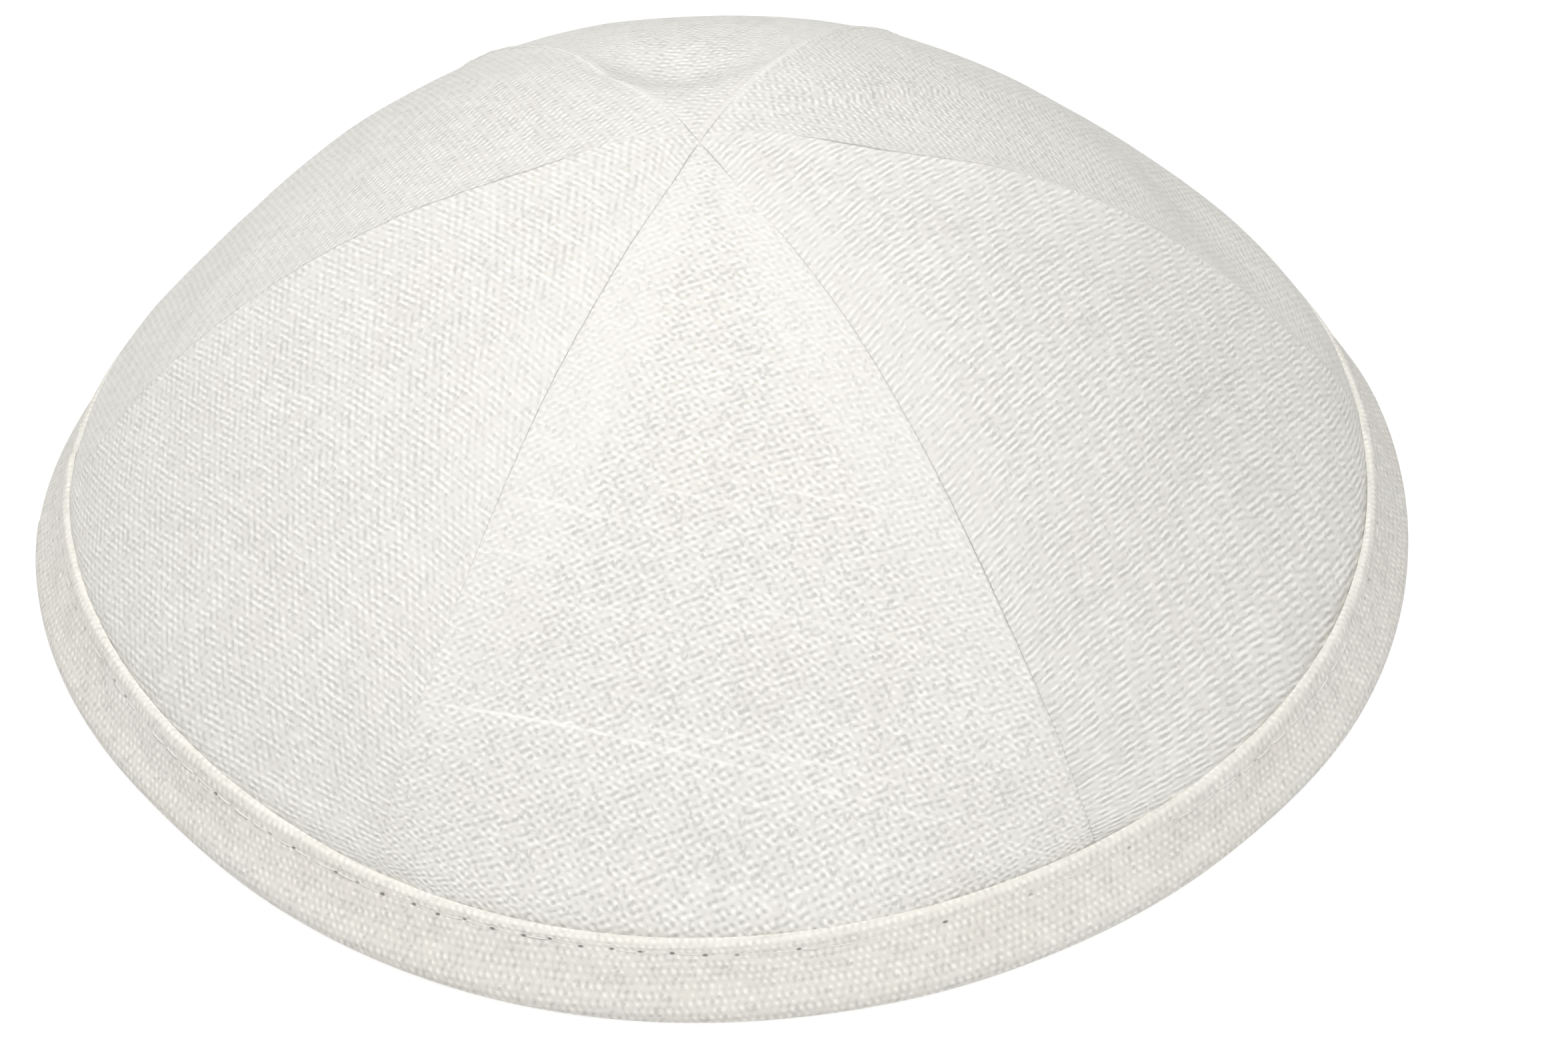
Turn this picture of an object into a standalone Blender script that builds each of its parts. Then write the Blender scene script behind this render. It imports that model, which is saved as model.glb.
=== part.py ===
"""A skullcap of linen: a domed crown of six sewn panels, and a folded rim band that binds their hem.

Metres, +Z up. The cap stands on its rim, with the origin on the surface under the middle of the rim.
The front of the cap faces -Y. An azimuth is turned from +X towards +Y.
"""

import math

import bmesh
import bpy
from mathutils import Vector

MM = 0.001

# A panel's cloth with its pressed allowances, the band's cloth folded double, and the gap between pieces
PANEL_CLOTH = 1.2 * MM
BAND_CLOTH = 1.2 * MM
GAP = 0.3 * MM

# The outer face of the crown along a seam, as (radius, height): a straight hem, then one cubic curve
HEM_BOTTOM = Vector((82.9, 2.1)) * MM
HEM_TOP = Vector((79.9, 8.4)) * MM
HEM_TOP_HANDLE = Vector((80.5, 18.7)) * MM
CROWN_TOP_HANDLE = Vector((42.3, 62.9)) * MM
CROWN_TOP = Vector((0.0, 62.9)) * MM
TIP_RADIUS = 1.1 * MM

# The top of the crown leans a little to the front and the left
CROWN_LEAN = Vector((-0.6, -3.6)) * MM

# The rim and the crown aren't quite round: each wave is a share of the radius
RIM_WAVES = (
    # count, cosine, sine
    (2, -0.003, -0.003),
    (3, -0.003, 0.005),
    (4, 0.004, -0.002),
    (5, -0.004, 0.000),
)
CROWN_WAVES = (
    # count, cosine, sine
    (1, -0.011, 0.006),
    (3, 0.001, -0.007),
    (4, -0.003, 0.004),
)

# Each panel runs from its own seam to the next one; flat is 0 for a round panel and 1 for a straight one
PANELS = (
    # name, seam azimuth in degrees, flat
    ("panel_back_right", 4.9, 0.19),
    ("panel_back", 65.5, 0.23),
    ("panel_back_left", 118.9, 0.21),
    ("panel_front_left", 180.8, 0.40),
    ("panel_front", 240.0, 0.40),
    ("panel_front_right", 301.1, 0.40),
)
FULL_FLAT_RISE = 0.35

# The dent across the back panel: a crease that bows round a soft bulge behind the crown's top.
# Its bow is how far back it has run, 10 mm to either side of its middle.
CREASE_BEHIND_TOP = 12.0 * MM
CREASE_BOW = 6.0 * MM
BOW_HALF_WIDTH = 10.0 * MM
CREASE_MIDDLE = -2.5 * MM
CREASE_DEPTH = 0.9 * MM
CREASE_WIDTH = 2.4 * MM
CREASE_REACH = 10.0 * MM
BULGE_BEHIND_TOP = 21.0 * MM
BULGE_HEIGHT = 1.3 * MM
BULGE_LENGTH = 6.0 * MM
BULGE_REACH = 9.0 * MM

# The rim band, measured out from the panels' outer face and up the hem
BAND_OUTER_TOP = 6.6 * MM
BAND_INNER_TOP = 6.0 * MM
BAND_EDGE_ROUND = 0.3 * MM
FOOT_OUTER_RADIUS = 85.0 * MM
FOOT_INNER_RADIUS = 81.5 * MM
FOOT_BEND = (
    # radius, height: the outside of the fold, from the flat foot up to the band's outer face
    (85.6, 0.25),
    (85.9, 0.80),
)

# Facets
PANEL_COLUMNS = 12
HEM_ROWS = 2
CROWN_ROWS = 18
BAND_STEPS = 96

PANEL_COLOUR = (0.84, 0.83, 0.79, 1.0)
BAND_COLOUR = (0.80, 0.78, 0.72, 1.0)
CLOTH_ROUGHNESS = 0.9


def clear_scene():
    for obj in list(bpy.data.objects):
        bpy.data.objects.remove(obj)


def cloth_material(name, colour):
    material = bpy.data.materials.new(name)
    material.use_nodes = True
    shader = material.node_tree.nodes["Principled BSDF"]
    shader.inputs["Base Color"].default_value = colour
    shader.inputs["Roughness"].default_value = CLOTH_ROUGHNESS
    shader.inputs["Metallic"].default_value = 0.0
    return material


def wave_sum(waves, azimuth):
    return sum(c * math.cos(n * azimuth) + s * math.sin(n * azimuth) for n, c, s in waves)


def crown_curve(rise):
    """Point and slope of the crown's outer face along a seam: the rise is 0 at the hem, 1 at the top."""
    a, b, c, d = HEM_TOP, HEM_TOP_HANDLE, CROWN_TOP_HANDLE, CROWN_TOP
    rest = 1.0 - rise
    point = a * rest**3 + b * 3 * rest**2 * rise + c * 3 * rest * rise**2 + d * rise**3
    slope = (b - a) * 3 * rest**2 + (c - b) * 6 * rest * rise + (d - c) * 3 * rise**2
    return point, slope


def tip_rise():
    """The rise at which the crown's radius has come down to the panels' blunt tips."""
    low, high = 0.5, 1.0
    for _ in range(40):
        middle = (low + high) / 2
        if crown_curve(middle)[0].x > TIP_RADIUS:
            low = middle
        else:
            high = middle
    return low


def profile(row):
    """Point, outward direction and rise of a panel's outer face at a row, counted up from the hem."""
    if row <= HEM_ROWS:
        point = HEM_BOTTOM.lerp(HEM_TOP, row / HEM_ROWS)
        slope, rise = HEM_TOP - HEM_BOTTOM, 0.0
    else:
        rise = tip_rise() * (row - HEM_ROWS) / CROWN_ROWS
        point, slope = crown_curve(rise)
    outward = Vector((slope.y, -slope.x)).normalized()
    return point, outward, rise


def flattening(azimuth, first, last, flat, rise):
    """How far a panel is drawn in between its seams, as a share of the radius."""
    half = (last - first) / 2
    straight = math.cos(half) / math.cos(azimuth - first - half)
    return 1.0 - flat * min(rise / FULL_FLAT_RISE, 1.0) * (1.0 - straight)


def roundness(azimuth, rise):
    """The radius's factor for the waves in the rim and the crown."""
    rim = wave_sum(RIM_WAVES, azimuth) * (1.0 - rise)
    crown = wave_sum(CROWN_WAVES, azimuth) * 4 * rise * (1.0 - rise)
    return 1.0 + rim + crown


def bell(distance, width):
    return math.exp(-((distance / width) ** 2))


def dent_height(x, y):
    """The crease and the bulge behind the crown's top, by their height above the plain dome."""
    side = x - CROWN_LEAN.x
    behind = y - CROWN_LEAN.y
    crease = CREASE_BEHIND_TOP + CREASE_BOW * ((side - CREASE_MIDDLE) / BOW_HALF_WIDTH) ** 2
    valley = CREASE_DEPTH * bell(behind - crease, CREASE_WIDTH)
    bulge = BULGE_HEIGHT * bell(behind - BULGE_BEHIND_TOP, BULGE_LENGTH)
    middle = side - CREASE_MIDDLE
    return bulge * bell(middle, BULGE_REACH) - valley * bell(middle, CREASE_REACH)


def on_crown(azimuth, radius, height, rise, narrowing):
    """A point of the crown in space, from its place on the plain profile."""
    lean = CROWN_LEAN * rise
    spread = radius * roundness(azimuth, rise) * narrowing
    x = spread * math.cos(azimuth) + lean.x
    y = spread * math.sin(azimuth) + lean.y
    return Vector((x, y, height + dent_height(x, y)))


def panel_point(across, row, depth, first, last, flat):
    """A point of a panel: across is 0 to 1 from seam to seam, and depth is in from its outer face."""
    point, outward, rise = profile(row)
    edge = math.asin(GAP / 2 / point.x)
    azimuth = first + edge + (last - first - 2 * edge) * across
    inner = point - outward * depth
    narrowing = flattening(azimuth, first, last, flat, rise)
    return on_crown(azimuth, inner.x, inner.y, rise, narrowing)


def new_object(name, mesh, material, collection):
    obj = bpy.data.objects.new(name, mesh)
    mesh.materials.append(material)
    collection.objects.link(obj)
    return obj


def build_panel(name, first, last, flat, material, collection):
    """One gore of the crown: a flat grid, extruded to a slab, then carried on to the dome."""
    rows = HEM_ROWS + CROWN_ROWS
    shape = bmesh.new()
    bmesh.ops.create_grid(shape, x_segments=PANEL_COLUMNS, y_segments=rows, size=0.5)
    slab = bmesh.ops.extrude_face_region(shape, geom=shape.faces[:], use_keep_orig=True)
    inner_points = [item for item in slab["geom"] if isinstance(item, bmesh.types.BMVert)]
    bmesh.ops.translate(shape, verts=inner_points, vec=(0.0, 0.0, -1.0))
    for vertex in shape.verts:
        across = vertex.co.x + 0.5
        row = round((vertex.co.y + 0.5) * rows)
        depth = -vertex.co.z * PANEL_CLOTH
        vertex.co = panel_point(across, row, depth, first, last, flat)
    bmesh.ops.recalc_face_normals(shape, faces=shape.faces)
    mesh = bpy.data.meshes.new(name)
    shape.to_mesh(mesh)
    shape.free()
    mesh.shade_smooth()
    mesh.set_sharp_from_angle(angle=math.radians(40))
    return new_object(name, mesh, material, collection)


def band_section():
    """The rim band's cross-section as (radius, height): a strip folded under the hem, both edges up."""
    upward = (HEM_TOP - HEM_BOTTOM).normalized()
    outward = Vector((upward.y, -upward.x))

    def by_hem(out, up):
        return HEM_BOTTOM + outward * out + upward * up

    outer = GAP + BAND_CLOTH
    inner = -PANEL_CLOTH - GAP
    edge = BAND_EDGE_ROUND
    return [
        by_hem(GAP, -GAP),
        by_hem(inner, -GAP),
        by_hem(inner, BAND_INNER_TOP - edge),
        by_hem(inner - edge, BAND_INNER_TOP),
        by_hem(inner - BAND_CLOTH + edge, BAND_INNER_TOP),
        by_hem(inner - BAND_CLOTH, BAND_INNER_TOP - edge),
        by_hem(inner - BAND_CLOTH, 0.0),
        Vector((FOOT_INNER_RADIUS, 0.0)),
        Vector((FOOT_OUTER_RADIUS, 0.0)),
        *[Vector(pair) * MM for pair in FOOT_BEND],
        by_hem(outer, 0.0),
        by_hem(outer, BAND_OUTER_TOP - edge),
        by_hem(outer - edge, BAND_OUTER_TOP),
        by_hem(GAP + edge, BAND_OUTER_TOP),
        by_hem(GAP, BAND_OUTER_TOP - edge),
    ]


def build_band(name, material, collection):
    """The folded rim band: its section spun round the cap, then drawn to the rim's own waves."""
    shape = bmesh.new()
    corners = [shape.verts.new((point.x, 0.0, point.y)) for point in band_section()]
    for index, corner in enumerate(corners):
        shape.edges.new((corner, corners[(index + 1) % len(corners)]))
    bmesh.ops.spin(
        shape,
        geom=shape.verts[:] + shape.edges[:],
        cent=(0.0, 0.0, 0.0),
        axis=(0.0, 0.0, 1.0),
        angle=2 * math.pi,
        steps=BAND_STEPS,
        use_merge=True,
    )
    for vertex in shape.verts:
        azimuth = math.atan2(vertex.co.y, vertex.co.x)
        vertex.co.xy *= roundness(azimuth, 0.0)
    bmesh.ops.recalc_face_normals(shape, faces=shape.faces)
    mesh = bpy.data.meshes.new(name)
    shape.to_mesh(mesh)
    shape.free()
    mesh.shade_smooth()
    mesh.set_sharp_from_angle(angle=math.radians(50))
    return new_object(name, mesh, material, collection)


def build_skullcap():
    collection = bpy.data.collections.new("skullcap")
    bpy.context.scene.collection.children.link(collection)
    panel_linen = cloth_material("panel_linen", PANEL_COLOUR)
    band_linen = cloth_material("band_linen", BAND_COLOUR)
    for index, (name, seam, flat) in enumerate(PANELS):
        next_seam = PANELS[(index + 1) % len(PANELS)][1]
        if next_seam < seam:
            next_seam += 360.0
        build_panel(name, math.radians(seam), math.radians(next_seam), flat, panel_linen, collection)
    build_band("rim_band", band_linen, collection)


clear_scene()
build_skullcap()
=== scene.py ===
"""The looks of a linen skullcap: six sewn gores, a bias band folded over the rim, and its topstitching.

Metres, +Z up, in the frame's own place. The front of the cap faces -Y. An azimuth is turned from +X
towards +Y.
"""

import math
from functools import partial

import bpy
import numpy as np
from mathutils import Matrix, Vector, noise


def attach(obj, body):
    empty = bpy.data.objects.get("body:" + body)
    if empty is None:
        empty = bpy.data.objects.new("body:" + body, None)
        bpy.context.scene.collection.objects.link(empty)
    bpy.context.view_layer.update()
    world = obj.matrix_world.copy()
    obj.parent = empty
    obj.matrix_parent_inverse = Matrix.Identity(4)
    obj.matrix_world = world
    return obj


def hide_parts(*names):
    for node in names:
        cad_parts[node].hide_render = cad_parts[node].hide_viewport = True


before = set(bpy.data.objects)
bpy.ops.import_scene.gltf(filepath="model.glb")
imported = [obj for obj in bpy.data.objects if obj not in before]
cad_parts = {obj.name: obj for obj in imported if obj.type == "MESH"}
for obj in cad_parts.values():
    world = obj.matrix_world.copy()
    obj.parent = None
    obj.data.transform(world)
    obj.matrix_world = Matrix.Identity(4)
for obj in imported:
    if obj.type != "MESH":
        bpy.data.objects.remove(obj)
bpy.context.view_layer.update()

MM = 0.001

# ---- The crown's form, as in the part's source ----

HEM_BOTTOM = (82.9, 2.1)
HEM_TOP = (79.9, 8.4)
HEM_TOP_HANDLE = (80.5, 18.7)
CROWN_TOP_HANDLE = (42.3, 62.9)
CROWN_TOP = (0.0, 62.9)
CROWN_LEAN = (-0.6, -3.6)

# count, cosine, sine: each wave is a share of the radius
RIM_WAVES = ((2, -0.003, -0.003), (3, -0.003, 0.005), (4, 0.004, -0.002), (5, -0.004, 0.0))
CROWN_WAVES = ((1, -0.011, 0.006), (3, 0.001, -0.007), (4, -0.003, 0.004))
FULL_FLAT_RISE = 0.35

# Where the six gores meet, from the middle of the crown, and how far around that shifts their seams, in mm
MEETING = (-0.3, -0.3)
MEETING_REACH = 5.0

# The seams: azimuth in degrees, then how far in mm each strays to one side and how open it lies, at
# these distances from where they meet, and the height of the crest that its gores rise to beside it
STRAY_AT = (1.5, 4.0, 8.0, 20.0, 40.0, 60.0, 80.0)
CREST_REACH = 7.0
SEAMS = (
    # azimuth, strays, openness, crest
    (4.9, (0.6, 1.0, 0.4, -1.8, 0.2, 0.9, -1.6), (0.3, 0.2, 0.4, 0.7, 0.2, 0.1, 0.1), 0.9),
    (65.5, (0.0,) * 7, (1.0, 0.7, 0.2, 0.1, 0.1, 0.1, 0.2), 0.0),
    (118.9, (0.0, 0.0, 0.2, 0.7, 0.4, 0.4, 0.0), (0.8, 0.5, 0.1, 0.1, 0.1, 0.1, 0.2), 0.0),
    (180.8, (-1.0, -1.8, -1.2, 1.2, 1.3, 0.5, 0.0), (0.2, 0.1, 0.1, 0.4, 0.1, 0.1, 0.1), 0.8),
    (240.0, (0.1, 0.3, 0.6, 0.6, 0.3, 0.0, -0.9), (1.0, 0.8, 0.5, 0.6, 0.4, 0.1, 0.1), 0.0),
    (301.1, (-0.1, -0.4, -0.8, -0.3, 0.2, -0.1, 0.3), (1.2, 1.0, 0.2, 0.5, 0.7, 0.8, 0.4), 0.0),
)
HOLLOW_REACH = 9.0

# Where the two back seams pass over the crown they are drawn in: azimuth in degrees and the share of
# the radius, over this half width in degrees
DRAWN_SEAMS = ((65.5, 0.008), (118.9, 0.012))
DRAWN_HALF_WIDTH = 13.0

# The gores, each from its own seam to the next. Flat is how far it is drawn straight between them, grain
# the turn of its threads in degrees, and threads its row of THREADS. Then at its first and its last seam:
# the ledge over its pressed allowance, how far the stitching draws its edge in, or below 0 how far it
# stands up as a lip, the hollow beside the crest, all in mm, and how far the doubled cloth shows.
GORES = (
    # name, flat, grain, threads, ledges, draws, hollows, doubled
    ("panel_back_right", 0.15, 4.0, "even", (0.0, 0.0), (-0.1, -0.22), (0.7, 0.0), (0.3, 0.4)),
    ("panel_back", 0.23, -3.0, "even", (0.0, 0.0), (-0.22, -0.28), (0.0, 0.0), (0.6, 0.6)),
    ("panel_back_left", 0.17, 6.0, "even", (0.0, 0.06), (-0.28, 0.08), (0.0, 0.2), (0.4, 0.3)),
    ("panel_front_left", 0.4, -12.0, "left", (0.06, 0.07), (0.08, 0.12), (0.0, 0.0), (0.3, 0.6)),
    ("panel_front", 0.4, 13.0, "front", (0.08, 0.13), (0.12, 0.12), (0.0, 0.0), (1.0, 0.9)),
    ("panel_front_right", 0.4, 13.0, "right", (0.07, 0.02), (0.12, -0.06), (0.0, 0.0), (0.8, 0.3)),
)

# How the threads of each cut of cloth stand out: how little they pass over each other by turns, how
# strong the rows are and how much they lean, how strong the ribs across them are, and how many of those
# ribs there are to a thread along X and along Y
THREADS = {
    # cut: ribbed, rows, lean, ribs, slant_x, slant_y
    "even": (0.2, 1.0, 0.0, 1.0, 0.2, 0.84),
    "left": (0.6, 1.4, 0.0, 0.75, 0.4, 0.5),
    "front": (0.1, 1.0, 0.28, 1.1, -0.3, 0.84),
    "right": (1.0, 2.0, 0.0, 0.75, 0.18, 0.85),
    "bias": (0.0, 0.7, 0.0, 0.6, 0.25, 0.84),
}
THREAD_LAYERS = ("ribbed", "rows", "lean", "ribs", "slant_x", "slant_y")

# How far the crown is eased out where it comes out of the band, at this climb and to this reach, in mm
EASE_OUT = 0.85
EASE_CLIMB = 7.6
EASE_REACH = 4.0

# Where the crown swells, or below 0 sinks, over the band
SWELL_RADIUS = 80.0
SWELLS = (
    # azimuth in degrees, then in mm: climb, height, and half its width round the rim and up the crown
    (333.0, 13.5, 0.55, 16.0, 3.2),
    (352.0, 14.5, 0.35, 10.0, 3.5),
    (206.0, 14.0, 0.25, 14.0, 4.0),
    (17.0, 15.0, 0.9, 26.0, 7.0),
    (26.0, 30.0, -1.1, 20.0, 9.0),
    (158.0, 24.0, -0.65, 24.0, 8.0),
)

# The dent behind the crown's top, in mm: a bowed crease with a steep near side, a small sharp fold before
# it, and a bulge behind it
CREASE_BEHIND_TOP = 20.4
CREASE_BOW = 4.0
CREASE_MIDDLE = -2.8
CREASE_DEPTH = 3.6
CREASE_NEAR_WIDTH = 5.2
CREASE_FAR_WIDTH = 12.0
CREASE_REACH = 9.0
# The small fold: how far before the crease, how deep, half its width and its reach
SMALL_FOLD = (3.3, 0.75, 1.0, 7.5)
# The shade in the dent: how far left of its middle, and its reach; behind the fold also half its width
# and how strong it is
FOLD_SHADE = (4.0, 9.0)
DENT_SHADE = (3.0, 8.0, 3.0, 0.3)
BULGE_BEHIND_TOP = 28.0
BULGE_MIDDLE = -5.0
BULGE_HEIGHT = 0.6
BULGE_LENGTH = 6.0
BULGE_REACH = 9.0

# ---- Cloth and sewing, in mm ----

LINEN = 0.45
FOLD_WIDTH = 0.09
FOLD_DEPTH = 0.48
FOLD_SQUARENESS = 0.6
ALLOWANCE = 8.0
SEAM_CLEARANCE = 0.015
ROW_STEP = 0.9
TIP_RADIUS = 0.05
SMOOTH_ANGLE = math.radians(60)


def mm(value):
    return np.asarray(value, dtype=float) * MM


def wave_sum(waves, azimuth):
    return sum(c * np.cos(n * azimuth) + s * np.sin(n * azimuth) for n, c, s in waves)


def profile_table():
    """The crown's outer face along a seam, every 0.1 mm up it: climb, radius, height and rise, in mm."""
    hem = np.linspace(0.0, 1.0, 71)[:, None]
    hem = np.array(HEM_BOTTOM) * (1 - hem) + np.array(HEM_TOP) * hem
    t = np.linspace(0.0, 1.0, 1201)[1:, None]
    a, b, c, d = (np.array(p) for p in (HEM_TOP, HEM_TOP_HANDLE, CROWN_TOP_HANDLE, CROWN_TOP))
    dome = a * (1 - t) ** 3 + 3 * b * (1 - t) ** 2 * t + 3 * c * (1 - t) * t**2 + d * t**3
    path = np.concatenate([hem, dome])
    rise = np.concatenate([np.zeros(len(hem)), t[:, 0]])
    climb = np.concatenate([[0.0], np.cumsum(np.hypot(*np.diff(path, axis=0).T))])
    even = np.arange(0.0, climb[-1], 0.1)
    table = [even] + [np.interp(even, climb, column) for column in (path[:, 0], path[:, 1], rise)]
    soft = np.hanning(31) / np.hanning(31).sum()
    for index in (1, 2):
        padded = np.pad(table[index], 15, mode="reflect", reflect_type="odd")
        table[index] = np.convolve(padded, soft, mode="valid")
    return np.array(table)


PROFILE = profile_table()


def smoothly(x, values):
    """Values given at STRAY_AT, joined by smooth curves."""
    xs, ys = np.array(STRAY_AT), np.array(values)
    slopes = np.gradient(ys, xs)
    i = np.clip(np.searchsorted(xs, x) - 1, 0, len(xs) - 2)
    step = xs[i + 1] - xs[i]
    t = np.clip((x - xs[i]) / step, 0.0, 1.0)
    return ((1 + 2 * t) * (1 - t) ** 2 * ys[i] + t * (1 - t) ** 2 * step * slopes[i]
            + t**2 * (3 - 2 * t) * ys[i + 1] - t**2 * (1 - t) * step * slopes[i + 1])


def seam_azimuth(seam, radius):
    azimuth, stray = SEAMS[seam % 6][:2]
    turn = smoothly(radius, stray) / np.maximum(radius, STRAY_AT[0])
    return math.radians(azimuth + 360 * (seam // 6)) + turn


def flattening(azimuth, gore, rise):
    first = math.radians(SEAMS[gore][0])
    last = math.radians(SEAMS[(gore + 1) % 6][0] + (360 if gore == 5 else 0))
    half = (last - first) / 2
    off = np.clip(azimuth - first - half, -half, half)
    straight = math.cos(half) / np.cos(off)
    return 1.0 - GORES[gore][1] * np.minimum(rise / FULL_FLAT_RISE, 1.0) * (1.0 - straight)


def bell(distance, width):
    return np.exp(-((distance / width) ** 2))


def ramp(value, start, length, least=0.0):
    """From least up to 1 over a length that begins at start; a length below 0 runs the other way."""
    return np.clip((value - start) / length, least, 1.0)


def soft_step(distance, steepness):
    """A smooth step from 0 to 1 where the distance passes 0."""
    return 1.0 / (1.0 + np.exp(-np.clip(distance * steepness, -60.0, 60.0)))


def turned_from(azimuth, degrees):
    """The turn from a direction in degrees to each azimuth, in radians, the short way round."""
    return (azimuth - math.radians(degrees) + math.pi) % math.tau - math.pi


def from_crease(x, y):
    """How far a spot lies behind the dent's crease, and to the right of its middle, in mm."""
    side = x - CROWN_LEAN[0] - CREASE_MIDDLE
    return y - CROWN_LEAN[1] - CREASE_BEHIND_TOP - CREASE_BOW * (side / 10.0) ** 2, side


def fold_share(x, y):
    """From 0 to 1 along the small sharp fold in the dent's near slope."""
    past, off = from_crease(x, y)
    return bell(past + SMALL_FOLD[0], SMALL_FOLD[2]) * bell(off, SMALL_FOLD[3])


def dent_shade(x, y):
    """How dark the dent lies at a spot, from 0 to 1."""
    past, off = from_crease(x, y)
    in_fold = fold_share(x, y) * bell(off + FOLD_SHADE[0], FOLD_SHADE[1])
    behind = bell(off + DENT_SHADE[0], DENT_SHADE[1]) * bell(past, DENT_SHADE[2])
    return np.maximum(in_fold, DENT_SHADE[3] * behind)


def dent_height(x, y):
    side = x - CROWN_LEAN[0] - BULGE_MIDDLE
    behind = y - CROWN_LEAN[1] - BULGE_BEHIND_TOP
    past, off = from_crease(x, y)
    width = np.where(past < 0, CREASE_NEAR_WIDTH, CREASE_FAR_WIDTH)
    valley = CREASE_DEPTH * bell(past, width) * bell(off, CREASE_REACH)
    bulge = BULGE_HEIGHT * bell(behind, BULGE_LENGTH) * bell(side, BULGE_REACH)
    return bulge - valley - SMALL_FOLD[1] * fold_share(x, y)


def on_crown(azimuth, climb, gore):
    """Points of the crown's outer face, in mm."""
    radius, height, rise = (np.interp(climb, PROFILE[0], PROFILE[i]) for i in (1, 2, 3))
    spread = radius * (1.0 + wave_sum(RIM_WAVES, azimuth) * (1 - rise)
                       + wave_sum(CROWN_WAVES, azimuth) * 4 * rise * (1 - rise))
    if gore is not None:
        spread = spread * flattening(azimuth, gore, rise)
    for seam, share in DRAWN_SEAMS:
        off = np.degrees(azimuth) - seam
        spread = spread * (1.0 - share * bell(off, DRAWN_HALF_WIDTH) * np.minimum(rise / FULL_FLAT_RISE, 1.0))
    spread = spread + EASE_OUT * bell(climb - EASE_CLIMB, EASE_REACH)
    near = bell(spread, MEETING_REACH)
    x = spread * np.cos(azimuth) + CROWN_LEAN[0] * rise + MEETING[0] * near
    y = spread * np.sin(azimuth) + CROWN_LEAN[1] * rise + MEETING[1] * near
    return np.stack([x, y, height + dent_height(x, y)], axis=-1)


def unit(vectors):
    return vectors / np.linalg.norm(vectors, axis=-1, keepdims=True)


def crown_normal(azimuth, climb, gore):
    around = on_crown(azimuth + 0.002, climb, gore) - on_crown(azimuth - 0.002, climb, gore)
    low, high = np.maximum(climb - 0.3, 0.0), np.minimum(climb + 0.3, PROFILE[0, -1])
    up = on_crown(azimuth, high, gore) - on_crown(azimuth, low, gore)
    return unit(np.cross(around, up))


def soft_noise(points, size, seed):
    """Smooth, fixed unevenness between about -1 and 1 at each point, with bumps about size mm across."""
    flat = points.reshape(-1, 3) / size + seed
    values = [noise.noise(Vector(p)) for p in flat]
    return np.array(values).reshape(points.shape[:-1])


def pick(piece):
    """Selects one piece and makes it active."""
    bpy.ops.object.select_all(action="DESELECT")
    piece.select_set(True)
    bpy.context.view_layer.objects.active = piece


def edit_all(step, **settings):
    """Runs one mesh step on the whole active piece."""
    bpy.ops.object.mode_set(mode="EDIT")
    bpy.ops.mesh.select_all(action="SELECT")
    step(**settings)
    bpy.ops.object.mode_set(mode="OBJECT")


def flat_cloth(name, points, cloth):
    """A grid of cloth, rows by columns, laid to the points in mm, with its flat place in metres as UV map."""
    rows, columns = points.shape[:2]
    bpy.ops.mesh.primitive_grid_add(x_subdivisions=columns - 1, y_subdivisions=rows - 1, size=2)
    piece = bpy.context.object
    piece.name = piece.data.name = name
    mesh = piece.data
    start = np.empty(len(mesh.vertices) * 3)
    mesh.vertices.foreach_get("co", start)
    start = start.reshape(-1, 3)
    column = np.rint((start[:, 0] + 1) / 2 * (columns - 1)).astype(int)
    row = np.rint((start[:, 1] + 1) / 2 * (rows - 1)).astype(int)
    mesh.vertices.foreach_set("co", mm(points)[row, column].ravel())
    mesh.uv_layers.active.name = "cloth"
    fill_map(mesh.uv_layers.active, mesh, mm(cloth), row, column)
    mesh.update()
    return piece, row, column


def fill_map(layer, mesh, places, row, column):
    """Gives each corner of a grid its place on a flat map."""
    corner = np.empty(len(mesh.loops), dtype=np.int32)
    mesh.loops.foreach_get("vertex_index", corner)
    placed = np.ascontiguousarray(places[row[corner], column[corner]], dtype=np.float32)
    layer.data.foreach_set("uv", placed.ravel())


def mark(piece, name, values):
    """Keeps a value at each point of a piece, which its material reads."""
    layer = piece.data.attributes.new(name, "FLOAT", "POINT")
    layer.data.foreach_set("value", np.ascontiguousarray(values, dtype=np.float32))


def mark_threads(piece, cut, count):
    """Keeps at each point how the threads of this cut of cloth stand out."""
    for layer, value in zip(THREAD_LAYERS, THREADS[cut]):
        mark(piece, layer, np.full(count, value))


def turned(x, y, degrees):
    """Flat places turned by an angle."""
    turn = math.radians(degrees)
    return np.stack([x * math.cos(turn) - y * math.sin(turn), x * math.sin(turn) + y * math.cos(turn)],
                    axis=-1)


def give_thickness(piece, thickness, weights=None):
    modifier = piece.modifiers.new("thickness", "SOLIDIFY")
    modifier.thickness = thickness * MM
    if weights is not None:
        group = piece.vertex_groups.new(name="thickness")
        for index, weight in enumerate(weights):
            group.add([index], float(weight), "REPLACE")
        modifier.vertex_group = group.name
    pick(piece)
    bpy.ops.object.modifier_apply(modifier=modifier.name)
    piece.vertex_groups.clear()
    bpy.ops.object.shade_smooth_by_angle(angle=SMOOTH_ANGLE)


# ---- The gores ----

FOLD_TURNS = np.radians([-80.0, -50.0, -25.0, 0.0, 25.0, 50.0, 72.0])
FACE_COLUMNS = 32
FACE_GRADING = 1.35
# How the allowance's cut edge wanders, and the shares of its width at which it has columns
ALLOWANCE_WANDER = (0.05, 0.21)
ALLOWANCE_SHARES = (1.0, 0.6, 0.2)
# The face's slow unevenness: height, size and seed of each set of bumps
UNEVEN = ((0.3, 17.0, 3.1), (0.06, 5.0, 8.7))
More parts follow.
